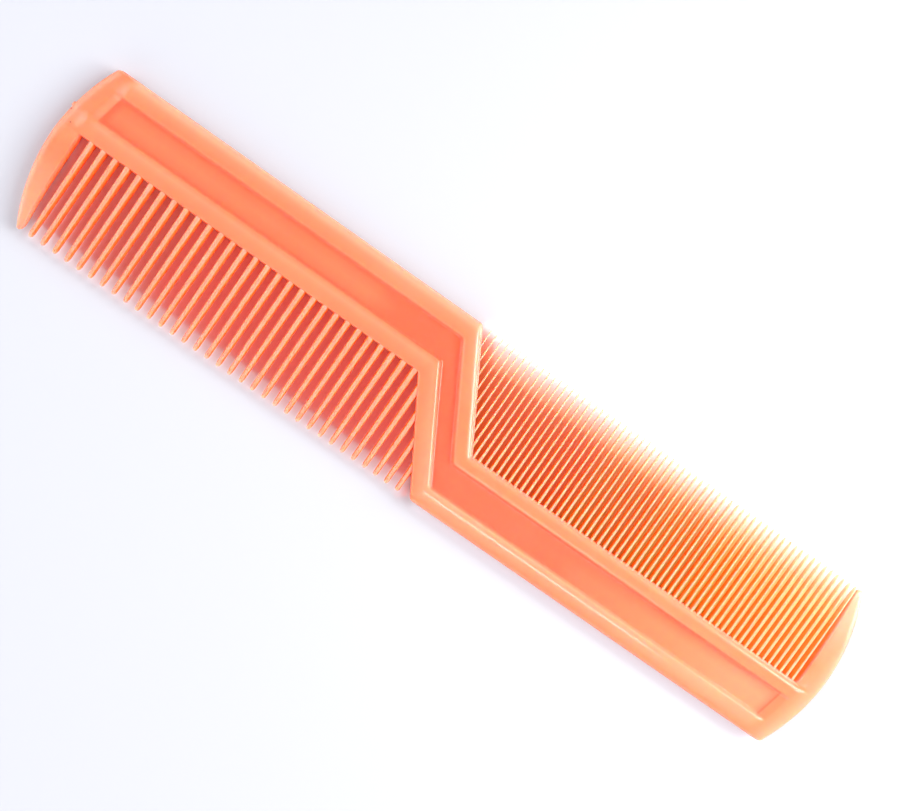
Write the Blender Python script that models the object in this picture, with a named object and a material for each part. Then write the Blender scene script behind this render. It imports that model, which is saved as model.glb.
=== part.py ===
"""A two-row plastic comb, moulded in one piece.

The comb lies flat in the XY plane. +X runs along its length to the fine row's
end, +Y points from the fine row's back to the coarse row's back, +Z is up.
The origin is at the middle of the comb, on the surface that it rests on.
Turned half round about Z, the outline is the same apart from the teeth and their root lines.
"""
import math

import bmesh
import bpy
from mathutils import Vector

MM = 0.001

# Overall size
HALF_WIDTH = 17.95 * MM
END_RADIUS = 39.6 * MM
END_CENTRE_X = -52.3 * MM
END_CENTRE_Y = 0.59 * MM

# Points along the outline's curves
END_ARC_STEPS = 14
RIM_ARC_STEPS = 4
TIP_STEPS = 6
CORNER_STEPS = 3

# Heights above and below the mid-plane
CREST = 2.0 * MM
RIM_FOOT = 1.56 * MM
RIM_STEP = 1.78 * MM
FACE = 1.5 * MM
EDGE = 1.05 * MM
FLOOR = 1.0 * MM

# Spine outline, coarse half; the fine half is the same turned half round, and
# its root corner is given as it stands before that turn
BACK_CORNER_X = -3.95 * MM
COARSE_ROOT_X = -9.05 * MM
COARSE_ROOT_Y = 3.4 * MM
FINE_ROOT_X = -9.1 * MM
FINE_ROOT_Y = 4.1 * MM
EDGE_CHAMFER = 0.42 * MM
OUTER_CORNER_RADIUS = 1.1 * MM
INNER_CORNER_RADIUS = 0.5 * MM

# End guard
GUARD_INNER_X = -86.95 * MM
GUARD_TIP_X = -86.9 * MM
GUARD_TIP_Y = -18.0 * MM
GUARD_TIP_RADIUS = 0.68 * MM
GUARD_TIP_SIDE_ANGLE = math.radians(25)

# Raised rims, set back from the outline
BACK_SETBACK = 0.5 * MM
TOOTH_SETBACK = 0.62 * MM
RIM_STEP_WIDTH = 0.3 * MM
RIM_SLOPE_WIDTH = 2.1 * MM
RIM_END_CUT = 3.2 * MM

# Recessed channel, at its mouth; the floor is narrower by the walls
CHANNEL_BACK_Y = 13.98 * MM
CHANNEL_TOOTH_Y = 7.3 * MM
CHANNEL_BACK_END_X = -86.0 * MM
CHANNEL_TOOTH_END_X = -87.5 * MM
CHANNEL_BACK_CORNER_X = -5.5 * MM
CHANNEL_TOOTH_CORNER_X = -6.95 * MM
CHANNEL_WALL = 0.6 * MM
CHANNEL_END_RAMP = 1.9 * MM
CUTTER_RISE = 0.5 * MM
CROSSING_TURN = math.radians(60)

# Coarse teeth: the pitch closes up slightly towards the crossing
COARSE_COUNT = 33
COARSE_FIRST_X = -84.35 * MM
COARSE_PITCH = 2.725 * MM
COARSE_CLOSING = 0.0021 * MM
COARSE_TIP_Y = -18.05 * MM

# Fine teeth, counted from the crossing
FINE_COUNT = 63
FINE_FIRST_X = -1.9 * MM
FINE_PITCH = 1.397 * MM
FINE_CLOSING = -0.0003 * MM
FINE_TIP_Y = 18.05 * MM

# How far a tooth runs on into the spine, and its share of flat on top and sides
TOOTH_OVERLAP = 0.9 * MM
SHORTEST_BAND = 0.1 * MM
LAND_SHARE = 0.5

# Tooth sections: distance from the tip, width, thickness
COARSE_SECTIONS = (
    (0.00 * MM, 0.30 * MM, 0.60 * MM),
    (0.45 * MM, 0.66 * MM, 1.20 * MM),
    (5.00 * MM, 1.02 * MM, 1.90 * MM),
    (21.45 * MM, 1.12 * MM, 2.80 * MM),
)
FINE_SECTIONS = (
    (0.00 * MM, 0.14 * MM, 0.40 * MM),
    (4.20 * MM, 0.50 * MM, 1.50 * MM),
    (22.15 * MM, 0.56 * MM, 2.60 * MM),
)

WELD = 0.001 * MM
FLAT_ANGLE = math.radians(0.5)

PLASTIC_COLOUR = (0.95, 0.36, 0.19, 1.0)
PLASTIC_ROUGHNESS = 0.28


def clear_scene():
    for obj in list(bpy.data.objects):
        bpy.data.objects.remove(obj, do_unlink=True)


def new_collection(name):
    collection = bpy.data.collections.new(name)
    bpy.context.scene.collection.children.link(collection)
    return collection


def plastic_material():
    material = bpy.data.materials.new("coral_plastic")
    material.use_nodes = True
    shader = material.node_tree.nodes["Principled BSDF"]
    shader.inputs["Base Color"].default_value = PLASTIC_COLOUR
    shader.inputs["Roughness"].default_value = PLASTIC_ROUGHNESS
    shader.inputs["Metallic"].default_value = 0.0
    return material


def half_turn(points):
    """The same points turned half round about Z."""
    return [Vector((-p.x, -p.y)) for p in points]


def rounded_corner(before, corner, after, radius):
    """Points of an arc of the given radius between the two sides that meet at corner."""
    side_in = (before - corner).normalized()
    side_out = (after - corner).normalized()
    half_angle = side_in.angle(side_out) / 2
    centre = corner + (side_in + side_out).normalized() * (radius / math.sin(half_angle))
    start = corner + side_in * (radius / math.tan(half_angle)) - centre
    end = corner + side_out * (radius / math.tan(half_angle)) - centre
    points = []
    for step in range(CORNER_STEPS + 1):
        blend = start.lerp(end, step / CORNER_STEPS)
        points.append(centre + blend.normalized() * radius)
    return points


def arc(centre, radius, start, end, steps):
    """Points of a circle from one angle to another."""
    points = []
    for step in range(steps + 1):
        angle = start + (end - start) * step / steps
        points.append(centre + Vector((math.cos(angle), math.sin(angle))) * radius)
    return points


def end_arc(radius, from_y, to_y, steps):
    """The coarse end's curve, from one height down to another."""
    centre = Vector((END_CENTRE_X, END_CENTRE_Y))
    start = math.pi - math.asin((from_y - centre.y) / radius)
    end = math.pi - math.asin((to_y - centre.y) / radius)
    return arc(centre, radius, start, end, steps)


def root_corners():
    """The corner of each tooth row's root line, both as in the coarse half."""
    return Vector((COARSE_ROOT_X, COARSE_ROOT_Y)), Vector((FINE_ROOT_X, FINE_ROOT_Y))


def blade_half_outline(root_corner, other_root_corner):
    """Spine and guard, from one half's back corner round to the other half's back corner."""
    back_corner = Vector((BACK_CORNER_X, HALF_WIDTH))
    end = end_arc(END_RADIUS, HALF_WIDTH, GUARD_TIP_Y + GUARD_TIP_RADIUS, END_ARC_STEPS)
    tip_centre = Vector((GUARD_TIP_X, GUARD_TIP_Y + GUARD_TIP_RADIUS))
    tip = arc(tip_centre, GUARD_TIP_RADIUS, math.pi + GUARD_TIP_SIDE_ANGLE, math.tau, TIP_STEPS)
    guard_root = Vector((GUARD_INNER_X, root_corner.y))

    points = rounded_corner(-other_root_corner, back_corner, end[0], OUTER_CORNER_RADIUS)
    points += rounded_corner(back_corner, end[0], end[1], OUTER_CORNER_RADIUS)
    points += end[1:-1]
    points += tip
    points += rounded_corner(tip[-1], guard_root, root_corner, INNER_CORNER_RADIUS)
    points += rounded_corner(guard_root, root_corner, -back_corner, INNER_CORNER_RADIUS)
    return points


def shifted_inwards(start, end, distance):
    """The line from start to end, moved to its left."""
    along = (end - start).normalized()
    shift = Vector((-along.y, along.x)) * distance
    return start + shift, end + shift


def crossing_of(line_a, line_b):
    """Where two lines meet."""
    (a, b), (c, d) = line_a, line_b
    along_a = b - a
    along_b = d - c
    share = (c - a).cross(along_b) / along_a.cross(along_b)
    return a + along_a * share


def rim_half_outline(root_corner, other_root_corner):
    """Half of the raised body that carries both rims, set back from the blade's outline."""
    back_corner = Vector((BACK_CORNER_X, HALF_WIDTH))
    back_y = HALF_WIDTH - BACK_SETBACK
    root_y = root_corner.y + TOOTH_SETBACK
    back_line = (Vector((0, back_y)), Vector((-1, back_y)))
    root_line = (Vector((0, root_y)), Vector((-1, root_y)))
    near_cross_line = shifted_inwards(root_corner, -back_corner, TOOTH_SETBACK)
    far_cross_line = shifted_inwards(-other_root_corner, back_corner, TOOTH_SETBACK)

    end = end_arc(END_RADIUS - BACK_SETBACK, back_y, root_corner.y + RIM_END_CUT, RIM_ARC_STEPS)
    rail_end = Vector((end[-1].x + RIM_END_CUT, root_y))
    return [crossing_of(far_cross_line, back_line), *end, rail_end,
            crossing_of(root_line, near_cross_line)]


def whole_outline(half_outline):
    """Both halves of an outline, the fine half turned half round to its place."""
    coarse_root, fine_root = root_corners()
    return half_outline(coarse_root, fine_root) + half_turn(half_outline(fine_root, coarse_root))


def extruded(name, outline, half_height):
    """A flat outline with its thickness, as a mesh with one face on each side."""
    curve = bpy.data.curves.new(name, "CURVE")
    curve.dimensions = "2D"
    curve.fill_mode = "BOTH"
    curve.extrude = half_height
    spline = curve.splines.new("POLY")
    spline.points.add(len(outline) - 1)
    for point, place in zip(spline.points, outline):
        point.co = (place.x, place.y, 0.0, 1.0)
    spline.use_cyclic_u = True
    curve_object = bpy.data.objects.new(name, curve)
    bpy.context.scene.collection.objects.link(curve_object)
    evaluated = curve_object.evaluated_get(bpy.context.evaluated_depsgraph_get())
    mesh = bpy.data.meshes.new_from_object(evaluated)
    bpy.data.objects.remove(curve_object, do_unlink=True)

    body = bmesh.new()
    body.from_mesh(mesh)
    bmesh.ops.remove_doubles(body, verts=body.verts, dist=WELD)
    bmesh.ops.dissolve_limit(body, angle_limit=FLAT_ANGLE, verts=body.verts, edges=body.edges)
    bmesh.ops.recalc_face_normals(body, faces=body.faces)
    bpy.data.meshes.remove(mesh)
    return body


def raise_faces(body, steps):
    """Insets the two flat faces in turn, each row giving the width and rise of one step."""
    for width, rise in steps:
        caps = [face for face in body.faces if abs(face.normal.z) > math.cos(FLAT_ANGLE)]
        top = [max(caps, key=lambda face: face.calc_center_median().z)]
        bottom = [min(caps, key=lambda face: face.calc_center_median().z)]
        for faces in (top, bottom):
            bmesh.ops.inset_region(body, faces=faces, thickness=width, depth=rise,
                                   use_boundary=True, use_even_offset=True)


def loft(body, rings):
    """Skins rings of equal point count, and caps both ends."""
    loops = [[body.verts.new(point) for point in ring] for ring in rings]
    for lower, upper in zip(loops, loops[1:]):
        for i in range(len(lower)):
            j = (i + 1) % len(lower)
            body.faces.new((lower[i], lower[j], upper[j], upper[i]))
    body.faces.new(list(reversed(loops[0])))
    body.faces.new(loops[-1])


def mesh_object(name, body, collection):
    bmesh.ops.recalc_face_normals(body, faces=body.faces)
    mesh = bpy.data.meshes.new(name)
    body.to_mesh(mesh)
    body.free()
    obj = bpy.data.objects.new(name, mesh)
    collection.objects.link(obj)
    return obj


def make_blade(collection):
    """The flat blank: the Z-shaped spine with its two guards, chamfered all round."""
    body = extruded("blade", whole_outline(blade_half_outline), EDGE)
    raise_faces(body, ((EDGE_CHAMFER, FACE - EDGE),))
    return mesh_object("comb", body, collection)


def make_rims(collection):
    """The thicker middle of the spine, stepped at its foot and sloping up to the crest."""
    body = extruded("rims", whole_outline(rim_half_outline), RIM_FOOT)
    raise_faces(body, ((RIM_STEP_WIDTH, RIM_STEP - RIM_FOOT), (RIM_SLOPE_WIDTH, CREST - RIM_STEP)))
    return mesh_object("rims", body, collection)


def channel_half(wall, ramp):
    """Four corners of the channel's coarse half, in from its mouth by the wall and the end ramp."""
    back_y = CHANNEL_BACK_Y - wall
    tooth_y = CHANNEL_TOOTH_Y + wall
    mitre = wall * math.tan(CROSSING_TURN / 2)
    return [Vector((CHANNEL_BACK_CORNER_X - mitre, back_y)),
            Vector((CHANNEL_BACK_END_X + ramp, back_y)),
            Vector((CHANNEL_TOOTH_END_X + ramp, tooth_y)),
            Vector((CHANNEL_TOOTH_CORNER_X + mitre, tooth_y))]


def make_channel_cutter(collection, side):
    """The recess on one face: side is 1 for the top and -1 for the bottom."""
    floor = channel_half(CHANNEL_WALL, CHANNEL_END_RAMP)
    flare = CUTTER_RISE / (CREST - FLOOR)
    mouth = channel_half(-CHANNEL_WALL * flare, -CHANNEL_END_RAMP * flare)
    rings = []
    for half, height in ((floor, FLOOR), (mouth, CREST + CUTTER_RISE)):
        rings.append([Vector((p.x, p.y, side * height)) for p in half + half_turn(half)])
    body = bmesh.new()
    loft(body, rings)
    return mesh_object("channel_cutter", body, collection)


def section_at(sections, distance):
    """Width and thickness of a tooth at a distance from its tip."""
    for (near, width_a, thick_a), (far, width_b, thick_b) in zip(sections, sections[1:]):
        if distance <= far:
            share = (distance - near) / (far - near)
            return width_a + (width_b - width_a) * share, thick_a + (thick_b - thick_a) * share
    return sections[-1][1], sections[-1][2]


def tooth_ring(x, y, width, thickness):
    """Eight-sided section with flats on top, on the bottom and on both sides."""
    half_w, half_t = width / 2, thickness / 2
    land, side = half_w * LAND_SHARE, half_t - half_w * LAND_SHARE
    corners = ((land, half_t), (half_w, side), (half_w, -side), (land, -half_t),
               (-land, -half_t), (-half_w, -side), (-half_w, side), (-land, half_t))
    return [Vector((x + dx, y, dz)) for dx, dz in corners]


def spine_edge_y(x, root_corner):
    """The spine's edge below x in the coarse half: the root line, then the crossing's slant."""
    slope = (-HALF_WIDTH - root_corner.y) / (-BACK_CORNER_X - root_corner.x)
    return min(root_corner.y, root_corner.y + (x - root_corner.x) * slope)


def add_tooth(body, x, root_y, tip_y, sections):
    away = math.copysign(1.0, root_y - tip_y)
    free_length = abs(root_y - tip_y)
    distances = [row[0] for row in sections if row[0] < free_length - SHORTEST_BAND]
    distances.append(free_length + TOOTH_OVERLAP)
    rings = []
    for distance in distances:
        width, thickness = section_at(sections, distance)
        rings.append(tooth_ring(x, tip_y + away * distance, width, thickness))
    loft(body, rings)


def row_places(count, first_x, pitch, closing):
    return [first_x + pitch * i - closing * i * i for i in range(count)]


def make_teeth(collection):
    """Both rows, every tooth tapering to its tip and running on into the spine."""
    coarse_root, fine_root = root_corners()
    body = bmesh.new()
    for x in row_places(COARSE_COUNT, COARSE_FIRST_X, COARSE_PITCH, COARSE_CLOSING):
        add_tooth(body, x, spine_edge_y(x, coarse_root), COARSE_TIP_Y, COARSE_SECTIONS)
    for x in row_places(FINE_COUNT, FINE_FIRST_X, FINE_PITCH, FINE_CLOSING):
        add_tooth(body, x, -spine_edge_y(-x, fine_root), FINE_TIP_Y, FINE_SECTIONS)
    return mesh_object("teeth", body, collection)


def add_boolean(target, operation, cutter):
    modifier = target.modifiers.new(operation.lower(), "BOOLEAN")
    modifier.operation = operation
    modifier.object = cutter
    modifier.solver = "EXACT"
    cutter.hide_render = True
    cutter.display_type = "WIRE"


def build():
    clear_scene()
    parts = new_collection("comb")
    cutters = new_collection("cutters")
    comb = make_blade(parts)
    comb.data.materials.append(plastic_material())
    add_boolean(comb, "UNION", make_rims(cutters))
    add_boolean(comb, "DIFFERENCE", make_channel_cutter(cutters, 1))
    add_boolean(comb, "DIFFERENCE", make_channel_cutter(cutters, -1))
    add_boolean(comb, "UNION", make_teeth(cutters))
    comb.location.z = CREST
    for cutter in cutters.objects:
        cutter.location.z = CREST


build()
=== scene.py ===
from math import radians, sqrt

import bmesh
import bpy
from mathutils import Euler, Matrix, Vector


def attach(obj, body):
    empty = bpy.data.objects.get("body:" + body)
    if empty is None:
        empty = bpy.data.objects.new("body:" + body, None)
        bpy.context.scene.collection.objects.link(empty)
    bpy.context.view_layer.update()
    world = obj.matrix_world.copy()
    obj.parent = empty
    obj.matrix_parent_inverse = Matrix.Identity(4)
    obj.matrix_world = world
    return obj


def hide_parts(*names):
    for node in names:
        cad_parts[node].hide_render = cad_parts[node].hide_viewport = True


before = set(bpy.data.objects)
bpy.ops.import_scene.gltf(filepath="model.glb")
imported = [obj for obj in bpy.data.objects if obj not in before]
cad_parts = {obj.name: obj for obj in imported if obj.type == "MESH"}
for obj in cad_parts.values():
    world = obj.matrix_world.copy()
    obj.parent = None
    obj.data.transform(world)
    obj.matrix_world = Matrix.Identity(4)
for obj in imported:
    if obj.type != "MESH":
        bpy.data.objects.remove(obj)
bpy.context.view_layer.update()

scene = bpy.context.scene
MM = 0.001

# Coral plastic. The whole comb is one moulding in a slightly translucent
# coral polystyrene, glossy as it comes out of a polished mould. Faint flow
# marks run along it, and a few dust specks are stuck to it.
# Its colours also carry painted light: painted shade in the channel, on walls and on the
# teeth's sides, and painted highlights on the rims, the teeth's crests and their tips.

# Colours of the faces, of their flow marks, of the painted shade in hollows and on walls, of
# the teeth's painted highlight on crests and painted shade on flanks, and of the painted
# highlight that pales thin ends and lit rims
CORAL = (0.94, 0.246, 0.116, 1)
FLOW_CORAL = (0.95, 0.27, 0.132, 1)
SHADED_CORAL = (0.92, 0.175, 0.088, 1)
SHADED_WALL_CORAL = (0.95, 0.19, 0.03, 1)
COARSE_CREST_HIGHLIGHT = (0.98, 0.345, 0.222, 1)
COARSE_FLANK_SHADE = (0.95, 0.18, 0.03, 1)
FINE_CREST_HIGHLIGHT = (1.0, 0.43, 0.285, 1)
FINE_FLANK_SHADE = (0.96, 0.23, 0.03, 1)
PAINTED_HIGHLIGHT = (1.0, 0.74, 0.55, 1)
SPECK_BROWN = (0.16, 0.045, 0.03, 1)

# How far red, green and blue light spreads under the surface, in metres
COARSE_SPREAD = (0.0022, 0.0004, 0.0002)
FINE_SPREAD = (0.002, 0.0004, 0.0002)
SPINE_SPREAD = (0.0018, 0.0004, 0.00017)
PLASTIC_IOR = 1.49

# Patterns in the surface: their scales for each metre, strengths and heights
FLOW_SCALE = 60
FLOW_STRETCH = (0.35, 1.6, 1)
HIGHLIGHT_STRENGTH = 0.6
WEAR_SCALE = 240
WEAR_ROUGHNESS = 0.07
WAVE_SCALE = 110
WAVE_STRETCH = (0.5, 1, 1)
WAVE_HEIGHT = 0.055 * MM
PEEL_SCALE = 1500
PEEL_HEIGHT = 0.0022 * MM
SPECK_STRENGTH = 0.8
SPECK_SOFTNESS = 2.4
SPECKS = (
    # x, y, z, radius, in millimetres
    (-89.7, 4.4, 3.6, 0.09),
    (-86.9, 0.4, 3.6, 0.1),
    (57.6, -15.7, 3.6, 0.08),
    (-76.4, 4.9, 3.6, 0.06),
    (-91.05, 6.64, 3.35, 0.12),
    (-91.6, 7.7, 2.65, 0.11),
)


def make_moulded_skin():
    """The node group for a moulded surface: its colours, flow marks, dust and waviness, and its
    painted shade and highlights.

    The mesh attribute for painted light is 1 on lit faces, 0 where painted shade makes the
    plastic look deeper and -1 on the walls beside the gaps, which take a painted wall shade.
    The attribute tip is 1 where a painted highlight pales a thin end or a lit rim.
    """
    group = bpy.data.node_groups.new("moulded_skin", "ShaderNodeTree")
    face = group.interface
    for name, kind, value in (
        ("Base", "NodeSocketColor", CORAL),
        ("Flow", "NodeSocketColor", FLOW_CORAL),
        ("Painted Shade", "NodeSocketColor", SHADED_CORAL),
        ("Gloss Roughness", "NodeSocketFloat", 0.13),
        ("Wave Height", "NodeSocketFloat", 1.0),
    ):
        socket = face.new_socket(name, in_out="INPUT", socket_type=kind)
        socket.default_value = value
    face.new_socket("Color", in_out="OUTPUT", socket_type="NodeSocketColor")
    face.new_socket("Roughness", in_out="OUTPUT", socket_type="NodeSocketFloat")
    face.new_socket("Height", in_out="OUTPUT", socket_type="NodeSocketFloat")

    nodes, links = group.nodes, group.links
    inputs = nodes.new("NodeGroupInput")
    outputs = nodes.new("NodeGroupOutput")
    place = nodes.new("ShaderNodeTexCoord").outputs["Object"]

    def noise(scale, detail, stretch=(1, 1, 1)):
        turn = nodes.new("ShaderNodeMapping")
        turn.inputs["Scale"].default_value = stretch
        links.new(place, turn.inputs["Vector"])
        texture = nodes.new("ShaderNodeTexNoise")
        texture.inputs["Scale"].default_value = scale
        texture.inputs["Detail"].default_value = detail
        links.new(turn.outputs["Vector"], texture.inputs["Vector"])
        return texture.outputs["Fac"]

    def ramped(value, low, high, to_low, to_high):
        node = nodes.new("ShaderNodeMapRange")
        node.interpolation_type = "SMOOTHSTEP"
        for name, number in (
            ("From Min", low), ("From Max", high), ("To Min", to_low), ("To Max", to_high),
        ):
            node.inputs[name].default_value = number
        links.new(value, node.inputs["Value"])
        return node.outputs["Result"]

    def combined(operation, first, second):
        node = nodes.new("ShaderNodeMath")
        node.operation = operation
        for socket, value in zip(node.inputs, (first, second)):
            if isinstance(value, (int, float)):
                socket.default_value = value
            else:
                links.new(value, socket)
        return node.outputs["Value"]

    def mixed(factor, first, second):
        node = nodes.new("ShaderNodeMix")
        node.data_type = "RGBA"
        links.new(factor, node.inputs["Factor"])
        for name, value in (("A", first), ("B", second)):
            socket = [s for s in node.inputs if s.name == name and s.type == "RGBA"][0]
            if isinstance(value, tuple):
                socket.default_value = value
            else:
                links.new(value, socket)
        return [s for s in node.outputs if s.type == "RGBA"][0]

    def mesh_mask(name):
        node = nodes.new("ShaderNodeAttribute")
        node.attribute_name = name
        return node.outputs["Fac"]

    flow = ramped(noise(FLOW_SCALE, 3, FLOW_STRETCH), 0.38, 0.66, 0, 1)
    colour = mixed(flow, inputs.outputs["Base"], inputs.outputs["Flow"])
    # Painted light: the shade colour where the light mask is low, a painted wall shade where it
    # is below 0, and a painted highlight where tip is high
    lit_share = mesh_mask("painted_light")
    colour = mixed(ramped(lit_share, 0.35, 0.85, 0, 1), inputs.outputs["Painted Shade"], colour)
    colour = mixed(ramped(lit_share, -0.7, -0.1, 1, 0), colour, SHADED_WALL_CORAL)
    colour = mixed(combined("MULTIPLY", mesh_mask("tip"), HIGHLIGHT_STRENGTH), colour, PAINTED_HIGHLIGHT)

    dust = None
    for x, y, z, radius in SPECKS:
        distance = nodes.new("ShaderNodeVectorMath")
        distance.operation = "DISTANCE"
        distance.inputs[1].default_value = (x * MM, y * MM, z * MM)
        links.new(place, distance.inputs[0])
        edge = radius * SPECK_SOFTNESS * MM
        spot = ramped(distance.outputs["Value"], radius * MM, edge, SPECK_STRENGTH, 0)
        dust = spot if dust is None else combined("MAXIMUM", dust, spot)
    colour = mixed(dust, colour, SPECK_BROWN)
    links.new(colour, outputs.inputs["Color"])

    wear = ramped(noise(WEAR_SCALE, 4), 0.35, 0.75, 0, WEAR_ROUGHNESS)
    roughness = combined("ADD", inputs.outputs["Gloss Roughness"], wear)
    links.new(roughness, outputs.inputs["Roughness"])

    long_wave = combined("MULTIPLY", noise(WAVE_SCALE, 2, WAVE_STRETCH), WAVE_HEIGHT)
    orange_peel = combined("MULTIPLY", noise(PEEL_SCALE, 2), PEEL_HEIGHT)
    height = combined("ADD", long_wave, orange_peel)
    height = combined("MULTIPLY", height, inputs.outputs["Wave Height"])
    links.new(height, outputs.inputs["Height"])
    return group


moulded_skin = make_moulded_skin()


def make_coral(name, colours, wave_height, spread, shine):
    """A coral plastic whose light spreads under its surface, with its own colours for its
    faces, flow marks and painted shade.
    """
    material = bpy.data.materials.new(name)
    material.use_nodes = True
    nodes, links = material.node_tree.nodes, material.node_tree.links
    plastic = nodes["Principled BSDF"]
    plastic.inputs["IOR"].default_value = PLASTIC_IOR
    plastic.inputs["Subsurface Weight"].default_value = 1.0
    plastic.inputs["Subsurface Radius"].default_value = spread
    plastic.inputs["Subsurface Scale"].default_value = 1.0
    plastic.inputs["Specular IOR Level"].default_value = shine
    skin = nodes.new("ShaderNodeGroup")
    skin.node_tree = moulded_skin
    for socket, colour in zip(("Base", "Flow", "Painted Shade"), colours):
        skin.inputs[socket].default_value = colour
    skin.inputs["Wave Height"].default_value = wave_height
    bump = nodes.new("ShaderNodeBump")
    bump.inputs["Distance"].default_value = 1.0
    links.new(skin.outputs["Color"], plastic.inputs["Base Color"])
    links.new(skin.outputs["Roughness"], plastic.inputs["Roughness"])
    links.new(skin.outputs["Height"], bump.inputs["Height"])
    links.new(bump.outputs["Normal"], plastic.inputs["Normal"])
    return material


coral = make_coral("coral_plastic", (CORAL, FLOW_CORAL, SHADED_CORAL), 1.0, SPINE_SPREAD, 0.5)
# The teeth's plastics: their crest colour is a painted highlight and their flank colour a
# painted shade, paler in the fine row
coral_coarse = make_coral(
    "coral_plastic_coarse", (COARSE_CREST_HIGHLIGHT, COARSE_CREST_HIGHLIGHT, COARSE_FLANK_SHADE), 0.6, COARSE_SPREAD, 0.2,
)
coral_fine = make_coral(
    "coral_plastic_fine", (FINE_CREST_HIGHLIGHT, FINE_CREST_HIGHLIGHT, FINE_FLANK_SHADE), 0.6, FINE_SPREAD, 0.2,
)

# Spine and end guards. A flat coral bar steps across the comb in its middle,
# and has a recessed channel between two rounded rims on both faces. At each
# end it runs without a break into a broad curved guard that closes a row.

# The coarse end's arc, and the height of the plane halfway between both faces
END_RADIUS = 39.6
END_CENTRE = (-52.3, 0.59)
MID_Z = 2.0

# Where the spine turns: x and y of the lines along it, as in the coarse half
BACK_EDGE = (-3.95, 17.95)
BACK_RIM_FOOT = (-5.5, 13.98)
BACK_FLOOR_EDGE = (-5.85, 13.38)
BACK_FLOOR = (-5.98, 12.85)
CHANNEL_MIDDLE = (-6.1, 10.6)
TOOTH_FLOOR = (-6.22, 8.35)
TOOTH_FLOOR_EDGE = (-6.35, 7.85)
TOOTH_RIM_FOOT = (-6.95, 7.3)
COARSE_EDGE = (-9.05, 3.4)
FINE_EDGE = (-9.1, 4.1)

# Seven points across a rim, from its edge to its foot, their heights above
# the middle plane, and the same for the five points across the channel's floor
RIM_SHARES = (0, 0.07, 0.15, 0.22, 0.5, 0.8, 1)
BACK_RIM = (0.95, 1.42, 1.6, 1.68, 1.88, 2.0, 1.93)
COARSE_RIM = (1.42, 1.54, 1.6, 1.66, 1.86, 2.0, 1.93)
FINE_RIM = (1.26, 1.31, 1.34, 1.74, 1.92, 2.0, 1.93)
FLOOR = (0.99, 0.97, 0.97, 0.97, 0.99)
CORNER_CUT = (0.24, -0.24)

# Along the spine: the end plate, the ramp down to the floor, and the way to the turn
FLOOR_END_X = -84.1
FLOOR_END_SLOPE = 0.222
END_RAMP = 1.9
GUARD_INNER_STEPS = (0.463, 0.674)
ARC_INSET = 0.45
FLOOR_START = (0.35, 0.95)
BODY_STEPS = (0.07, 0.28, 0.52, 0.76)
CORNER_STEPS = (3.0, 1.0, 0.0)
PLATE_STEPS = (0, 0, 1 / 3, 2 / 3, 1)
PLATE_HEIGHTS = (0.95, 1.48, 1.6, 1.62, 1.62)
CROSSING_ROUND = (1.0, 3.0)
CROSSING_SHARES = (0.3, 0.5, 0.7)

# How much of a rim has risen from the plate in each row from the end
BACK_RIM_END = (0, 0, 0, 0.03, 0.22, 0.55, 0.8)
TOOTH_RIM_END = (0, 0, 0, 0.14, 0.95, 1, 1)
BACK_ROUND_LINES = 4

# Rows from an end, lines across the spine, and how sharp the folds there are
RAMP_TOP_ROW = 4
FLOOR_END_ROW = 7
RIM_FOOT_LINES = (6, 12)
FLOOR_EDGE_LINES = (7, 11)
RAMP_FOOT_CREASE = 1.0
RAMP_TOP_CREASE = 0.7
WALL_CREASE = 0.5
EDGE_BULGE = 0.16

# Painted highlight that makes the plastic look pale, from 0 to 1: the guards from coarse to
# fine half, the fine end's plate row by row, the ramps, and a painted glare on the floor near
# the fine end
GUARD_PALING = (0.45, 0.8)
GUARD_PALE_Y = 17
PLATE_PALING = (0.5, 0.45, 0.3, 0.14, 0.04, 0, 0)
RAMP_PALING = 0.1
FLOOR_GLARE = 0.16
GLARE_FROM_X = 66
GLARE_LENGTH = 12

# Painted shade: at the ramps' feet, on the floor near the turn, which rises to its full light
# over these lengths, and on the outer edges and the walls beside the gaps
RAMP_FOOT_LIGHT = 0.3
TURN_REACH = 11
COARSE_RISE = 14
FINE_RISE = 40
HALF_BLEND = 13
SHADE_FADE_ROWS = 4
OUTER_EDGE_Y = 17.6
ARC_MARGIN = 0.2
OUTER_EDGE_LIGHT = (1.0, 0.0)
WALL_LIGHT = (-0.2, -1.0)

LINE_SHADES = (
    # how pale a painted highlight makes each line across the spine and how lit it looks, below
    # 1 a painted shade, coarse then fine half
    (0.55, 1.0, 0.28, 1.0),
    (0.55, 1.0, 0.28, 1.0),
    (0.52, 1.0, 0.26, 1.0),
    (0.46, 1.0, 0.22, 1.0),
    (0.15, 1.0, 0.0, 1.0),
    (0.05, 1.0, 0.0, 0.85),
    (0.0, 1.0, 0.0, 0.72),
    (0.0, 0.2, 0.0, 0.25),
    (0.0, 0.55, 0.0, 0.55),
    (0.0, 0.68, 0.0, 0.76),
    (0.0, 0.56, 0.0, 0.74),
    (0.0, 0.35, 0.05, 0.74),
    (0.0, 0.95, 0.36, 1.0),
    (0.2, 1.0, 0.25, 1.0),
    (0.06, 1.0, 0.2, 1.0),
    (0.0, 1.0, 0.05, 1.0),
    (0.0, 1.0, 0.0, 1.0),
    (0.0, 1.0, 0.0, 1.0),
    (0.0, 1.0, 0.0, 1.0),
)

GUARD_ROWS = (
    # y, inner x, height of the face above the mid-plane
    (2.6, -86.95, 1.62),
    (0.0, -86.94, 1.58),
    (-3.5, -86.9, 1.52),
    (-7.0, -86.84, 1.44),
    (-10.5, -86.72, 1.34),
    (-13.5, -86.5, 1.22),
    (-15.6, -86.3, 1.1),
    (-16.9, -86.24, 0.98),
    (-17.6, -86.42, 0.84),
    (-17.95, -86.72, 0.6),
)
GUARD_LOWEST_ARC_Y = -17.9

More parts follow.
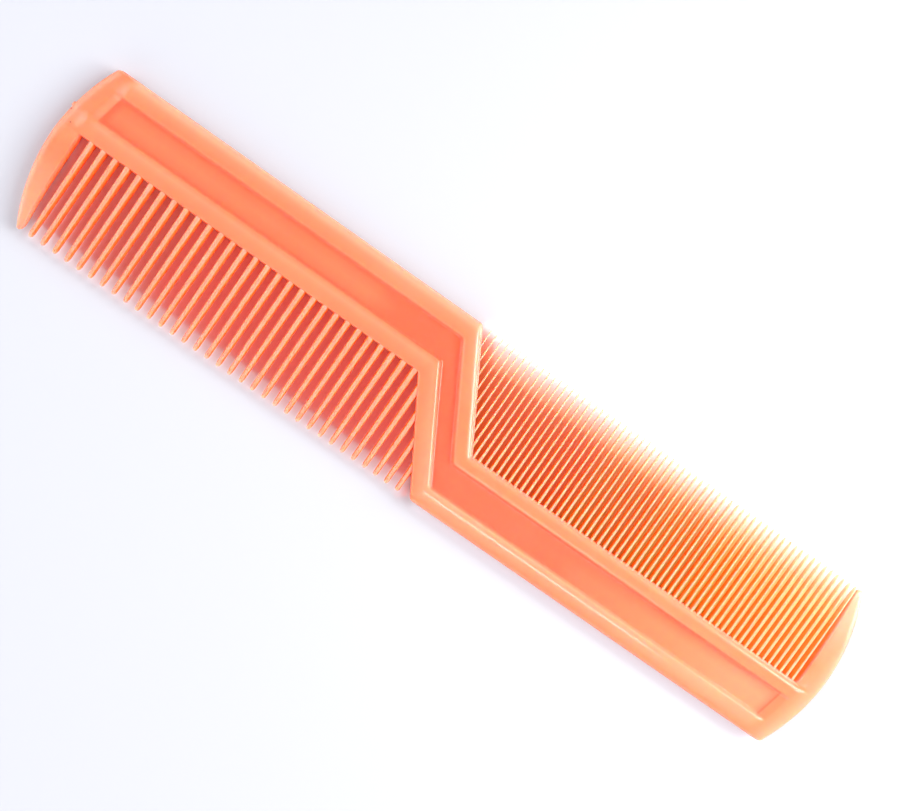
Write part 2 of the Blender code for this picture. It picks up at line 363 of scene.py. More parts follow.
# Its rounded edges, at most and as a share of its width, and its section's height
GUARD_EDGE = (0.4, 0.15)
GUARD_INNER_EDGE = (0.24, 0.12)
GUARD_PROFILE = (0.7, 0.95, 1.0, 1.0, 1.0, 1.0, 0.88)


def end_arc_x(y):
    return END_CENTRE[0] - sqrt(END_RADIUS ** 2 - (y - END_CENTRE[1]) ** 2)


def between(start, end, share):
    return tuple(a + (b - a) * share for a, b in zip(start, end))


def corner_line(tooth_edge):
    """The 19 points across the spine where it turns, from the back edge to the tooth edge."""
    back = [between(BACK_EDGE, BACK_RIM_FOOT, share) for share in RIM_SHARES]
    tooth = [between(tooth_edge, TOOTH_RIM_FOOT, share) for share in RIM_SHARES]
    floor = [BACK_FLOOR_EDGE, BACK_FLOOR, CHANNEL_MIDDLE, TOOTH_FLOOR, TOOTH_FLOOR_EDGE]
    return back + floor + tooth[::-1]


def half_rows(tooth_rim, tooth_edge):
    """The spine's rows of points from one end to its turn, and the columns of its guard."""
    corner = corner_line(tooth_edge)
    rim_heights = list(BACK_RIM) + list(FLOOR) + list(tooth_rim)[::-1]
    floor_lines = range(len(RIM_SHARES), len(RIM_SHARES) + len(FLOOR))
    rows = []
    for line, (corner_x, y) in enumerate(corner):
        floor_end = FLOOR_END_X - (BACK_RIM_FOOT[1] - y) * FLOOR_END_SLOPE
        ramp_top = floor_end - END_RAMP
        arc = end_arc_x(y)
        inset = arc + ARC_INSET
        steps = []
        for share, height in zip(PLATE_STEPS, PLATE_HEIGHTS):
            steps.append([inset + (ramp_top - inset) * share, height])
        steps[0][0] = arc
        for share in GUARD_INNER_STEPS:
            steps.append([ramp_top + END_RAMP * share, PLATE_HEIGHTS[-1]])
        rim = rim_heights[line]
        highest = rim if line < BACK_ROUND_LINES else max(PLATE_HEIGHTS)
        risen = TOOTH_RIM_END if line > floor_lines[0] else BACK_RIM_END
        if line in floor_lines:
            risen = (0,) * (RAMP_TOP_ROW + 1) + GUARD_INNER_STEPS
        for step, share in zip(steps, risen):
            height = min(step[1], highest)
            step[1] = height + (rim - height) * share
        steps += [[floor_end + beyond, rim] for beyond in (0, *FLOOR_START)]
        start = steps[-1][0]
        steps += [[start + (corner_x - start) * share, rim] for share in BODY_STEPS]
        steps += [[corner_x - back, rim] for back in CORNER_STEPS]
        rows.append([Vector((x, y, height)) for x, height in steps])
    rows = [list(row) for row in zip(*rows)]
    rows[0][0] += Vector((*CORNER_CUT, 0))
    return rows


def guard_rows(root_row):
    """Rows of points down the guard, from the spine's last line to the guard's tip."""
    columns = len(root_row)
    rows = [root_row]
    for y, inner_x, height in GUARD_ROWS:
        outer_x = end_arc_x(max(y, GUARD_LOWEST_ARC_Y))
        width = inner_x - outer_x
        first = min(GUARD_EDGE[0], GUARD_EDGE[1] * width)
        last = width - min(GUARD_INNER_EDGE[0], GUARD_INNER_EDGE[1] * width)
        inner = [first + (last - first) * share / (columns - 3) for share in range(columns - 2)]
        offsets = [0] + inner + [width]
        rows.append([
            Vector((outer_x + offset, y, height * part))
            for offset, part in zip(offsets, GUARD_PROFILE)
        ])
    return rows


def half_turned(row):
    return [Vector((-point.x, -point.y, point.z)) for point in row]


def spine_rows():
    """All rows of points across the spine's face, from the coarse end to the fine end."""
    coarse = half_rows(COARSE_RIM, COARSE_EDGE)
    fine = [half_turned(row)[::-1] for row in half_rows(FINE_RIM, FINE_EDGE)][::-1]
    turn_a, turn_b = coarse[-1], fine[0]
    length = (turn_b[0] - turn_a[0]).length
    near = [distance / length for distance in CROSSING_ROUND]
    crossing = []
    for share in (*near, *CROSSING_SHARES, *[1 - share for share in near[::-1]]):
        row = [a.lerp(b, share) for a, b in zip(turn_a, turn_b)]
        for point, height in zip(row, (*FINE_RIM, *FLOOR, *COARSE_RIM[::-1])):
            point.z = height
        crossing.append(row)
    return coarse + crossing + fine


def add_guard(cage, layer, at_fine_end, tip, paling):
    """A guard's grid of vertices, grown from the spine's tooth edge, with a painted highlight
    that grows paler to its tip.
    """
    line = 0 if at_fine_end else -1
    end_rows = layer[::-1] if at_fine_end else layer
    root = [row[line] for row in end_rows[:len(GUARD_PROFILE)]]
    points = [vertex.co / MM for vertex in root]
    if at_fine_end:
        points = half_turned(points)
    lower = guard_rows(points)[1:]
    if at_fine_end:
        lower = [half_turned(row) for row in lower]
    guard = [root] + [[cage.verts.new(point * MM) for point in row] for row in lower]
    # painted highlight, paler towards the guard's tip and over the fine end's plate
    for row in guard:
        for vertex, edge_paling in zip(row, PLATE_PALING):
            vertex[tip] = paling * min(abs(vertex.co.y) / MM / GUARD_PALE_Y, 1)
            if at_fine_end:
                vertex[tip] = max(vertex[tip], edge_paling)
    return guard


def clamped(value):
    return min(max(value, 0), 1)


def shade_face(layer, painted_light, tip):
    """Where a painted highlight pales the spine's face and where a painted shade makes it look
    deep.
    """
    first, last = FLOOR_EDGE_LINES
    for place, row in enumerate(layer):
        from_end = min(place, len(layer) - 1 - place)
        on_rims = clamped((from_end - RAMP_TOP_ROW) / SHADE_FADE_ROWS)
        fine_share = clamped((row[0].co.x + row[-1].co.x) / 2 / MM / HALF_BLEND + 0.5)
        for line, vertex in enumerate(row[1:-1] if from_end == 0 else row):
            # each line's painted highlight and painted light, blended from the coarse to the
            # fine half
            pale, lit_share = between(LINE_SHADES[line][:2], LINE_SHADES[line][2:], fine_share)
            vertex[tip] = max(vertex[tip], pale * on_rims)
            # painted highlight on the fine end's plate
            if fine_share == 1 and from_end <= RAMP_TOP_ROW:
                vertex[tip] = max(vertex[tip], PLATE_PALING[from_end])
            if from_end <= FLOOR_END_ROW:
                continue
            # painted shade on the floor near the turn, and a painted glare on it near the fine
            # end
            if first <= line <= last:
                x = vertex.co.x / MM
                past_turn = abs(x) - TURN_REACH
                lit_share *= clamped(past_turn / (COARSE_RISE if x < 0 else FINE_RISE))
                vertex[tip] += FLOOR_GLARE * clamped((x - GLARE_FROM_X) / GLARE_LENGTH)
            vertex[painted_light] = lit_share
    # painted shade at the feet of the ramps
    for row in (*layer[FLOOR_END_ROW:FLOOR_END_ROW + 2],
                *layer[-2 - FLOOR_END_ROW:-FLOOR_END_ROW]):
        for vertex in row[first:last + 1]:
            vertex[painted_light] = RAMP_FOOT_LIGHT
    # painted highlight on the ramps
    for row in layer[RAMP_TOP_ROW + 1:FLOOR_END_ROW]:
        for vertex in row[first:last + 1]:
            vertex[tip] = RAMP_PALING


def fold_channel(cage, layer, crease):
    """Sharper folds at both ramps and along the channel's walls."""
    first, last = FLOOR_EDGE_LINES
    for number, sharpness in (
        (FLOOR_END_ROW, RAMP_FOOT_CREASE), (RAMP_TOP_ROW, RAMP_TOP_CREASE),
    ):
        for row in (layer[number], layer[-1 - number]):
            for a, b in zip(row[first:last], row[first + 1:last + 1]):
                cage.edges.get((a, b))[crease] = sharpness
    body = layer[FLOOR_END_ROW:len(layer) - FLOOR_END_ROW]
    for row, following in zip(body, body[1:]):
        for line in (*RIM_FOOT_LINES, *FLOOR_EDGE_LINES):
            cage.edges.get((row[line], following[line]))[crease] = WALL_CREASE


def close_body(cage, painted_light, tip):
    """The second face, a mirror image below the first, and bulging walls between both, with
    painted shade along the outer walls' middles and on the walls beside the gaps.
    """
    rim = [edge for edge in cage.edges if edge.is_boundary]
    upper = list(cage.verts)
    copied = bmesh.ops.duplicate(cage, geom=[*cage.verts, *cage.edges, *cage.faces])
    under = {vertex: copied["vert_map"][vertex] for vertex in upper}
    lower_faces = [item for item in copied["geom"] if isinstance(item, bmesh.types.BMFace)]
    bmesh.ops.reverse_faces(cage, faces=lower_faces)
    for vertex in under.values():
        vertex.co.z *= -1
    middle = {}
    for vertex in dict.fromkeys(vertex for edge in rim for vertex in edge.verts):
        outward = Vector((0, 0, 0))
        for edge in vertex.link_edges:
            if not edge.is_boundary:
                outward += (vertex.co - edge.other_vert(vertex).co).normalized()
        outward.z = 0
        if outward.length > 0:
            outward.normalize()
        place = Vector((*vertex.co.xy, 0)) + outward * EDGE_BULGE * MM
        middle[vertex] = cage.verts.new(place)
        x, y = vertex.co.x / MM, vertex.co.y / MM
        arc_x = end_arc_x(y if x < 0 else -y)
        outside = abs(y) > OUTER_EDGE_Y or abs(x) > abs(arc_x) - ARC_MARGIN
        edge_light, middle_light = OUTER_EDGE_LIGHT if outside else WALL_LIGHT
        vertex[painted_light] = under[vertex][painted_light] = edge_light
        middle[vertex][painted_light] = middle_light
        middle[vertex][tip] = vertex[tip]
    for edge in rim:
        loop = next(loop for loop in edge.link_faces[0].loops if loop.edge == edge)
        a, b = loop.vert, loop.link_loop_next.vert
        cage.faces.new((b, a, middle[a], middle[b]))
        cage.faces.new((middle[b], middle[a], under[a], under[b]))


def make_spine():
    """The spine and both guards as one closed cage, smoothed by subdivision."""
    cage = bmesh.new()
    painted_light = cage.verts.layers.float.new("painted_light")
    tip = cage.verts.layers.float.new("tip")
    crease = cage.edges.layers.float.new("crease_edge")
    layer = [[cage.verts.new(point * MM) for point in row] for row in spine_rows()]
    coarse_paling, fine_paling = GUARD_PALING
    coarse_guard = add_guard(cage, layer, False, tip, coarse_paling)
    fine_guard = add_guard(cage, layer, True, tip, fine_paling)
    for grid in (layer, coarse_guard, fine_guard):
        for row, following in zip(grid, grid[1:]):
            for a, b, c, d in zip(row, row[1:], following[1:], following):
                cage.faces.new((a, b, c, d))
    for vertex in cage.verts:
        vertex[painted_light] = 1.0
    shade_face(layer, painted_light, tip)
    fold_channel(cage, layer, crease)
    bmesh.ops.recalc_face_normals(cage, faces=cage.faces)
    if cage.faces[0].normal.z < 0:
        bmesh.ops.reverse_faces(cage, faces=cage.faces)
    close_body(cage, painted_light, tip)
    bmesh.ops.translate(cage, vec=(0, 0, MID_Z * MM), verts=cage.verts)

    mesh = bpy.data.meshes.new("spine")
    cage.to_mesh(mesh)
    cage.free()
    mesh.shade_smooth()
    mesh.materials.append(coral)
    piece = bpy.data.objects.new("spine", mesh)
    scene.collection.objects.link(piece)
    smooth = piece.modifiers.new("smooth", "SUBSURF")
    smooth.levels = smooth.render_levels = 2
    return piece


spine = make_spine()
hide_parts("comb")
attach(spine, "root")

# Coarse and fine tooth rows. Straight teeth of the same coral plastic grow
# from the spine's edge. Each is a rounded bar that thins to a blunt tip, and
# the teeth beside the turn are shorter, because they start on its slope.

TOOTH_TIP_Y = -18.05
TOOTH_SIDES = 16
TOOTH_RINGS = 16

# The slanting edge of the turn, where the short teeth start: its end and its slope
TURN_END = (3.95, -17.95)
TURN_SLOPE = 1.65

# How far a tooth runs into the spine and widens there, how blunt its tip is, and
# how fast it thickens, as a power of the way from tip to root
ROOT_OVERLAP = 0.7
FLARE_LENGTH = 1.3
TIP_FLAT = 0.28
THICKENING = 0.42

# Share of a tooth's half thickness from which its side, in painted shade, turns into its crest,
# in painted highlight
CREST_FROM = 0.76
CREST_TO = 0.95

# Both rows as they lie below the coarse half; the fine row is then turned half round. Fade
# Length is how far from the tip a painted highlight pales a tooth
COARSE_TEETH = {
    "Count": 33,
    "First X": -84.35,
    "Pitch": 2.725,
    "Closing": 0.0021,
    "Edge Y": 3.4,
    "Tip Width": 0.84,
    "Root Width": 1.16,
    "Draft": 0.24,
    "Tip Thickness": 1.7,
    "Root Thickness": 2.92,
    "Rounding": 0.8,
    "Flare": 0.12,
    "Squareness": 3.5,
    "Fade Length": 0.5,
}
FINE_TEETH = {
    "Count": 63,
    "First X": -85.87,
    "Pitch": 1.434,
    "Closing": 0.0003,
    "Edge Y": 4.1,
    "Tip Width": 0.26,
    "Root Width": 0.54,
    "Draft": 0.2,
    "Tip Thickness": 1.4,
    "Root Thickness": 2.74,
    "Rounding": 1.3,
    "Flare": 0.06,
    "Squareness": 4.5,
    "Fade Length": 9.0,
}


def make_tooth_row_tree():
    """A node tree for a row of teeth, in millimetres, along the comb's coarse edge, with masks
    for a painted highlight on crests and tips and painted shade on sides.
    """
    tree = bpy.data.node_groups.new("tooth_row", "GeometryNodeTree")
    tree.is_modifier = True
    face = tree.interface
    face.new_socket("Teeth", in_out="OUTPUT", socket_type="NodeSocketGeometry")
    for name, kind, value in (
        ("Count", "NodeSocketInt", 33),
        ("First X", "NodeSocketFloat", 0.0),
        ("Pitch", "NodeSocketFloat", 2.7),
        ("Closing", "NodeSocketFloat", 0.0),
        ("Edge Y", "NodeSocketFloat", 3.4),
        ("Tip Width", "NodeSocketFloat", 0.7),
        ("Root Width", "NodeSocketFloat", 1.1),
        ("Draft", "NodeSocketFloat", 0.2),
        ("Tip Thickness", "NodeSocketFloat", 1.5),
        ("Root Thickness", "NodeSocketFloat", 2.8),
        ("Rounding", "NodeSocketFloat", 0.8),
        ("Flare", "NodeSocketFloat", 0.3),
        ("Squareness", "NodeSocketFloat", 3.0),
        ("Fade Length", "NodeSocketFloat", 1.0),
        ("Turn", "NodeSocketFloat", 0.0),
        ("Plastic", "NodeSocketMaterial", None),
    ):
        socket = face.new_socket(name, in_out="INPUT", socket_type=kind)
        if value is not None:
            socket.default_value = value
    nodes, links = tree.nodes, tree.links
    given = nodes.new("NodeGroupInput").outputs
    result = nodes.new("NodeGroupOutput").inputs["Teeth"]

    def feed(socket, value):
        if isinstance(value, bpy.types.NodeSocket):
            links.new(value, socket)
        else:
            socket.default_value = value

    def calc(operation, *values):
        node = nodes.new("ShaderNodeMath")
        node.operation = operation
        for socket, value in zip(node.inputs, values):
            feed(socket, value)
        return node.outputs["Value"]

    def ramped(value, low, high, to_low, to_high, kind="LINEAR"):
        node = nodes.new("ShaderNodeMapRange")
        node.interpolation_type = kind
        for name, number in (
            ("Value", value), ("From Min", low), ("From Max", high),
            ("To Min", to_low), ("To Max", to_high),
        ):
            feed(node.inputs[name], number)
        return node.outputs["Result"]

    def split(vector):
        node = nodes.new("ShaderNodeSeparateXYZ")
        links.new(vector, node.inputs["Vector"])
        return node.outputs["X"], node.outputs["Y"], node.outputs["Z"]

    line = nodes.new("GeometryNodeMeshLine")
    line.inputs["Offset"].default_value = (0, 0, 0)
    feed(line.inputs["Count"], given["Count"])
    number = nodes.new("GeometryNodeInputIndex").outputs["Index"]
    spread = calc("MULTIPLY", number, given["Pitch"])
    closing = calc("MULTIPLY", calc("MULTIPLY", number, number), given["Closing"])
    row_x = calc("SUBTRACT", calc("ADD", given["First X"], spread), closing)
    places = nodes.new("GeometryNodeStoreNamedAttribute")
    places.data_type, places.domain = "FLOAT", "POINT"
    places.inputs["Name"].default_value = "row_x"
    links.new(line.outputs["Mesh"], places.inputs["Geometry"])
    feed(places.inputs["Value"], row_x)

    blank = nodes.new("GeometryNodeMeshCylinder")
    blank.inputs["Vertices"].default_value = TOOTH_SIDES
    blank.inputs["Side Segments"].default_value = TOOTH_RINGS
    blank.inputs["Radius"].default_value = 1
    blank.inputs["Depth"].default_value = 1
    copies = nodes.new("GeometryNodeInstanceOnPoints")
    links.new(places.outputs["Geometry"], copies.inputs["Points"])
    links.new(blank.outputs["Mesh"], copies.inputs["Instance"])
    solid = nodes.new("GeometryNodeRealizeInstances")
    links.new(copies.outputs["Instances"], solid.inputs["Geometry"])

    kept = nodes.new("GeometryNodeInputNamedAttribute")
    kept.data_type = "FLOAT"
    kept.inputs["Name"].default_value = "row_x"
    tooth_x = kept.outputs["Attribute"]
    side_x, side_z, along = split(nodes.new("GeometryNodeInputPosition").outputs["Position"])
    share = ramped(along, -0.5, 0.5, 0.0, 1.0, "SMOOTHSTEP")

    def root_y(x):
        up_slope = calc("MULTIPLY", calc("SUBTRACT", TURN_END[0], x), TURN_SLOPE)
        return calc("MINIMUM", given["Edge Y"], calc("ADD", TURN_END[1], up_slope))

    def squared(value):
        power = calc("DIVIDE", 2.0, given["Squareness"])
        size = calc("POWER", calc("ABSOLUTE", value), power)
        return calc("MULTIPLY", size, calc("SIGN", value))

    whole = calc("SUBTRACT", calc("ADD", root_y(tooth_x), ROOT_OVERLAP), TOOTH_TIP_Y)
    from_tip = calc("MULTIPLY", share, whole)
    to_root = calc("SUBTRACT", calc("SUBTRACT", whole, ROOT_OVERLAP), from_tip)
    taper = ramped(from_tip, 0.0, calc("SUBTRACT", given["Edge Y"], TOOTH_TIP_Y), 0.0, 1.0)
    nose = calc("SUBTRACT", 1.0, ramped(from_tip, 0.0, given["Rounding"], 0.0, 1.0))
    nose = calc("SQRT", calc("SUBTRACT", 1.0, calc("MULTIPLY", nose, nose)))
    nose = ramped(nose, 0.0, 1.0, TIP_FLAT, 1.0)
    flare = ramped(to_root, 0.0, FLARE_LENGTH, given["Flare"], 0.0, "SMOOTHSTEP")
    width = ramped(taper, 0.0, 1.0, given["Tip Width"], given["Root Width"])
    width = calc("ADD", calc("MULTIPLY", width, nose), flare)
    depth = calc("POWER", taper, THICKENING)
    thickness = ramped(depth, 0.0, 1.0, given["Tip Thickness"], given["Root Thickness"])
    thickness = calc("MULTIPLY", thickness, nose)

    height = calc("ABSOLUTE", squared(side_z))
    swell = ramped(height, 0.0, 1.0, calc("ADD", 1.0, given["Draft"]), 1.0)
    half_width = calc("MULTIPLY", calc("MULTIPLY", width, 0.5), swell)
    x = calc("ADD", tooth_x, calc("MULTIPLY", squared(side_x), half_width))
    reach = calc("SUBTRACT", calc("ADD", root_y(x), ROOT_OVERLAP), TOOTH_TIP_Y)
    y = calc("ADD", TOOTH_TIP_Y, calc("MULTIPLY", share, reach))
    z = calc("MULTIPLY", squared(side_z), calc("MULTIPLY", thickness, 0.5))
    place = nodes.new("ShaderNodeCombineXYZ")
    for socket, value in zip(place.inputs, (x, y, calc("ADD", z, MID_Z))):
        feed(socket, value)
    masked = solid.outputs["Geometry"]
    # Masks for painted light: the crest's painted highlight over the sides' painted shade, and
    # a painted highlight paling each tooth towards its tip
    for name, mask in (
        ("painted_light", ramped(height, CREST_FROM, CREST_TO, 0.0, 1.0)),
        ("tip", ramped(from_tip, 0.0, given["Fade Length"], 1.0, 0.0)),
    ):
        store = nodes.new("GeometryNodeStoreNamedAttribute")
        store.data_type, store.domain = "FLOAT", "POINT"
        store.inputs["Name"].default_value = name
        links.new(masked, store.inputs["Geometry"])
        feed(store.inputs["Value"], mask)
        masked = store.outputs["Geometry"]
    shaped = nodes.new("GeometryNodeSetPosition")
    links.new(masked, shaped.inputs["Geometry"])
    links.new(place.outputs["Vector"], shaped.inputs["Position"])

    turn = nodes.new("ShaderNodeCombineXYZ")
    feed(turn.inputs["Z"], given["Turn"])
    placed = nodes.new("GeometryNodeTransform")
    placed.inputs["Scale"].default_value = (MM, MM, MM)
    links.new(shaped.outputs["Geometry"], placed.inputs["Geometry"])
    links.new(turn.outputs["Vector"], placed.inputs["Rotation"])
    rounded = nodes.new("GeometryNodeSetShadeSmooth")
    links.new(placed.outputs["Geometry"], rounded.inputs["Geometry"])
    finished = nodes.new("GeometryNodeSetMaterial")
    links.new(rounded.outputs["Geometry"], finished.inputs["Geometry"])
    feed(finished.inputs["Material"], given["Plastic"])
    links.new(finished.outputs["Geometry"], result)
    return tree


tooth_row = make_tooth_row_tree()


def add_tooth_row(name, sizes, turn, plastic):
    """One row of teeth as a plain mesh, made from the tree with that row's sizes."""
    blank = bpy.data.objects.new(name + "_blank", bpy.data.meshes.new(name + "_blank"))
    scene.collection.objects.link(blank)
    row = blank.modifiers.new("row", "NODES")
    row.node_group = tooth_row
    sockets = {
        item.name: item.identifier
        for item in tooth_row.interface.items_tree
        if item.item_type == "SOCKET" and item.in_out == "INPUT"
    }
    for label, value in (*sizes.items(), ("Turn", turn), ("Plastic", plastic)):
        row[sockets[label]] = value

    bpy.context.view_layer.update()
    finished = blank.evaluated_get(bpy.context.evaluated_depsgraph_get())
    mesh = bpy.data.meshes.new_from_object(finished)
    mesh.name = name
    bpy.data.objects.remove(blank)
    piece = bpy.data.objects.new(name, mesh)
    scene.collection.objects.link(piece)
    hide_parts("comb")
    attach(piece, "root")


add_tooth_row("coarse_teeth", COARSE_TEETH, 0.0, coral_coarse)
add_tooth_row("fine_teeth", FINE_TEETH, radians(180), coral_fine)

# Gate mark. The runner was snapped off the middle of the coarse end's edge,
# which leaves a low rough stub of the same plastic.

GATE_PLACE = (-91.4, 7.6)
GATE_RADIUS = 0.66
GATE_TOP_RADIUS = 0.462
GATE_HEIGHT = 0.6
GATE_ROUNDING = 0.12
GATE_FLATTENING = 0.9
GATE_SLANT = 0.22

gate = bmesh.new()
gate_light = gate.verts.layers.float.new("painted_light")
bmesh.ops.create_cone(
    gate, cap_ends=True, segments=12, radius1=GATE_RADIUS, radius2=GATE_TOP_RADIUS, depth=1.0,
)
bmesh.ops.bevel(
    gate, geom=list(gate.edges), offset=GATE_ROUNDING, segments=2, affect="EDGES", profile=0.6,
)
for vertex in gate.verts:
    side, across, out = vertex.co
    slanted = out * (1 + GATE_SLANT * (side - across) / GATE_RADIUS)
    vertex.co = Vector((
        GATE_PLACE[0] - GATE_HEIGHT * slanted,
        GATE_PLACE[1] + across,
        MID_Z + side * GATE_FLATTENING,
    )) * MM
    vertex[gate_light] = 1.0
bmesh.ops.recalc_face_normals(gate, faces=gate.faces)
gate_mesh = bpy.data.meshes.new("gate_mark")
gate.to_mesh(gate_mesh)
gate.free()
gate_mesh.shade_smooth()
gate_mesh.materials.append(coral)
gate_mark = bpy.data.objects.new("gate_mark", gate_mesh)
scene.collection.objects.link(gate_mark)
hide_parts("comb")
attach(gate_mark, "root")

# Floor. A plain pale matt sheet, three metres square, that the comb lies on.

FLOOR_HALF = 1.5
FLOOR_WHITE = (0.6, 0.61, 0.652, 1)

floor_mesh = bpy.data.meshes.new("floor")
floor_outline = bmesh.new()
bmesh.ops.create_grid(floor_outline, x_segments=1, y_segments=1, size=FLOOR_HALF)
floor_outline.to_mesh(floor_mesh)
floor_outline.free()
floor = bpy.data.objects.new("floor", floor_mesh)
scene.collection.objects.link(floor)
floor_white = bpy.data.materials.new("floor_white")
floor_white.use_nodes = True
floor_skin = floor_white.node_tree.nodes["Principled BSDF"]
floor_skin.inputs["Base Color"].default_value = FLOOR_WHITE
floor_skin.inputs["Roughness"].default_value = 0.9
floor_skin.inputs["Specular IOR Level"].default_value = 0.2
floor_mesh.materials.append(floor_white)

# Light. A bright, even room with a darker patch straight above the comb, a
# broad key light past the fine row's end, and a long lamp whose reflection
# draws the thin lines along the rims. Low lamps between the teeth stand for
# the light that falls through the plastic onto what the comb lies on.

SKY_BLUE = 1.04

scene.view_settings.view_transform = "Standard"

room = bpy.data.worlds.new("room")
scene.world = room
room.use_nodes = True
room_nodes, room_links = room.node_tree.nodes, room.node_tree.links
sky = room_nodes["Background"]
sky.inputs["Strength"].default_value = 1.0
direction = room_nodes.new("ShaderNodeTexCoord").outputs["Generated"]


def toward(aim, low, high, to_low, to_high):
    """How bright the room is by how nearly a direction points at the aim."""
    dot = room_nodes.new("ShaderNodeVectorMath")
    dot.operation = "DOT_PRODUCT"
    dot.inputs[1].default_value = Vector(aim).normalized()
    room_links.new(direction, dot.inputs[0])
    ramp = room_nodes.new("ShaderNodeMapRange")
    ramp.interpolation_type = "SMOOTHSTEP"
    for name, number in (
        ("From Min", low), ("From Max", high), ("To Min", to_low), ("To Max", to_high),
    ):
        ramp.inputs[name].default_value = number
    room_links.new(dot.outputs["Value"], ramp.inputs["Value"])
    return ramp.outputs["Result"]


def joined(operation, first, second):
    node = room_nodes.new("ShaderNodeMath")
    node.operation = operation
    room_links.new(first, node.inputs[0])
    room_links.new(second, node.inputs[1])
    return node.outputs["Value"]


window = toward((0.72, 0.4, 0.5), low=0.86, high=0.97, to_low=0.0, to_high=5.7)
left_wall = toward((-0.75, -0.1, 0.55), low=0.75, high=0.95, to_low=0.0, to_high=3.6)
front = toward((0.1, -0.95, 0.2), low=0.75, high=0.97, to_low=0.32, to_high=2.2)
dark_patch = toward((-0.01, -0.04, 1.0), low=0.85, high=0.95, to_low=1.0, to_high=0.05)
shade = joined("ADD", joined("ADD", window, left_wall), front)
shade = joined("MULTIPLY", shade, dark_patch)
tint = room_nodes.new("ShaderNodeCombineColor")
for channel in ("Red", "Green"):
    room_links.new(shade, tint.inputs[channel])
blue = room_nodes.new("ShaderNodeMath")
blue.operation = "MULTIPLY"
blue.inputs[1].default_value = SKY_BLUE
room_links.new(shade, blue.inputs[0])
room_links.new(blue.outputs["Value"], tint.inputs["Blue"])
room_links.new(tint.outputs["Color"], sky.inputs["Color"])


def add_lamp(name, place, aim, size, power, colour=(1, 1, 1)):
    """A flat rectangular lamp, its place, aim and size in millimetres, its power in watts."""
    lamp = bpy.data.lights.new(name, "AREA")
    lamp.shape = "RECTANGLE"
    lamp.size, lamp.size_y = size[0] * MM, size[1] * MM
    lamp.energy = power
    lamp.color = colour
    holder = bpy.data.objects.new(name, lamp)
    holder.location = Vector(place) * MM
    holder.rotation_euler = (Vector(aim) - Vector(place)).to_track_quat("-Z", "Y").to_euler()
    scene.collection.objects.link(holder)
    return holder


key_lamp = add_lamp("key_lamp", (175, 75, 120), (82, 2, 0), (90, 90), 0.27, (1.0, 0.97, 0.88))
line_lamp = add_lamp("line_lamp", (75, -80, 300), (75, -80, 0), (140, 14), 0.13)
line_lamp.visible_diffuse = False
line_lamp.visible_transmission = False

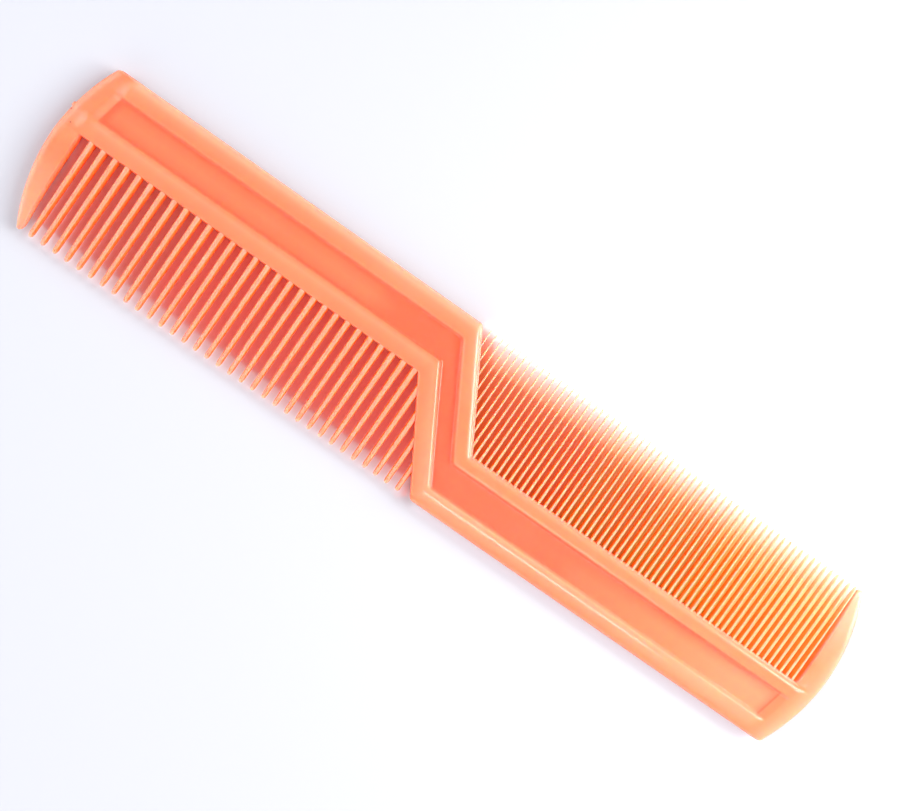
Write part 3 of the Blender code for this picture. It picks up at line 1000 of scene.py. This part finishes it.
# How high above the floor the low lamps lie
FOOT = (0.45,)
BOTH = (2.6, 0.45)
GLOWS = (
    # name, x, y, length, width, turn, levels, light in watts for each square metre
    ("coarse_glow_1", -73.5, -5.0, 27, 20, 0, BOTH, (1.15, 0.05, 0.0)),
    ("coarse_glow_2", -28.5, -5.0, 63, 20, 0, BOTH, (1.45, 0.05, 0.0)),
    ("coarse_root_glow", -48.0, 1.6, 79, 6, 0, FOOT, (1.5, 0.0, 0.0)),
    ("coarse_tip_glow", -42.0, -16.9, 88, 3.6, 0, FOOT, (1.6, 1.15, 1.1)),
    ("coarse_turn_glow", -4.2, -7.9, 25, 2.6, -58.7, FOOT, (2.4, 0.15, 0.0)),
    ("fine_glow_1", 13.5, 3.6, 33, 17.2, 0, BOTH, (1.75, 0.2, 0.0)),
    ("fine_glow_2", 37.5, 3.6, 15, 17.2, 0, BOTH, (1.6, 0.38, 0.0)),
    ("fine_glow_3", 51.5, 3.6, 13, 17.2, 0, BOTH, (1.65, 0.65, 0.02)),
    ("fine_glow_4", 62.0, 3.6, 8, 17.2, 0, BOTH, (2.0, 1.15, 0.06)),
    ("fine_glow_5", 70.5, 3.6, 9, 17.2, 0, BOTH, (2.5, 1.8, 0.3)),
    ("fine_glow_6", 82.0, 3.6, 14, 17.2, 0, BOTH, (3.0, 2.5, 0.6)),
    ("fine_root_glow_1", 21.0, -2.2, 26, 7, 0, FOOT, (1.7, 0.08, 0.0)),
    ("fine_root_glow_2", 46.0, -2.2, 24, 7, 0, FOOT, (1.6, 0.3, 0.0)),
    ("fine_root_glow_3", 73.0, -2.2, 30, 7, 0, FOOT, (1.5, 0.9, 0.1)),
    ("fine_turn_glow", 3.8, 7.4, 25, 2.6, -59.4, FOOT, (2.4, 0.25, 0.0)),
    ("back_glow", 46.0, -18.4, 82, 2.2, 0, FOOT, (1.1, 1.0, 1.08)),
)

# The light grows paler towards the fine teeth's tips, in strips along the row
TIP_GLOWS = (
    # name, x, length, evenness of the green from strip to strip, light at the very tips
    ("fine_tip_glow_1", 13.2, 33.4, 0.0, (2.2, 1.85, 1.7)),
    ("fine_tip_glow_2", 43.9, 28.0, 0.1, (2.6, 2.2, 2.0)),
    ("fine_tip_glow_3", 73.9, 32.0, 0.3, (2.9, 2.5, 2.0)),
)
TIP_STRIPS = (
    # y, width, share of the green, share of the blue
    (10.8, 1.2, 0.2, 0.0),
    (11.9, 1.0, 0.36, 0.06),
    (12.9, 1.0, 0.46, 0.18),
    (13.9, 1.0, 0.6, 0.43),
    (14.9, 1.0, 0.88, 0.65),
    (17.3, 3.8, 1.0, 1.0),
)


def add_glow(name, x, y, length, width, turned, levels, flux):
    """A flat lamp at each of the levels, facing down, that itself shows nowhere."""
    power = max(flux) * length * width * MM * MM
    colour = [part / max(flux) for part in flux]
    for level in levels:
        glow = add_lamp(name, (x, y, level), (x, y, 0), (length, width), power, colour)
        glow.rotation_euler.z = radians(turned)
        glow.visible_camera = glow.visible_glossy = False


for glow in GLOWS:
    add_glow(*glow)
for name, x, length, evenness, (red, green, blue) in TIP_GLOWS:
    for y, width, green_share, blue_share in TIP_STRIPS:
        green_share += (1 - green_share) * evenness
        flux = (red, green * green_share, blue * blue_share)
        add_glow(name, x, y, length, width, 0, BOTH, flux)

# Camera. It looks almost straight down from a quarter of a metre above the comb,
# turned so that the comb lies slantwise in the picture.

CAMERA_PLACE = (-13.705, 11.01, 253.2)
CAMERA_TURN = (-3.5489, -1.2849, 35.0276)

view = bpy.data.cameras.new("camera")
view.lens, view.sensor_width = 52.0, 36.0
view.clip_start, view.clip_end = 0.01, 10
camera = bpy.data.objects.new("camera", view)
camera.location = Vector(CAMERA_PLACE) * MM
camera.rotation_euler = Euler([radians(angle) for angle in CAMERA_TURN], "XYZ")
scene.collection.objects.link(camera)
scene.camera = camera
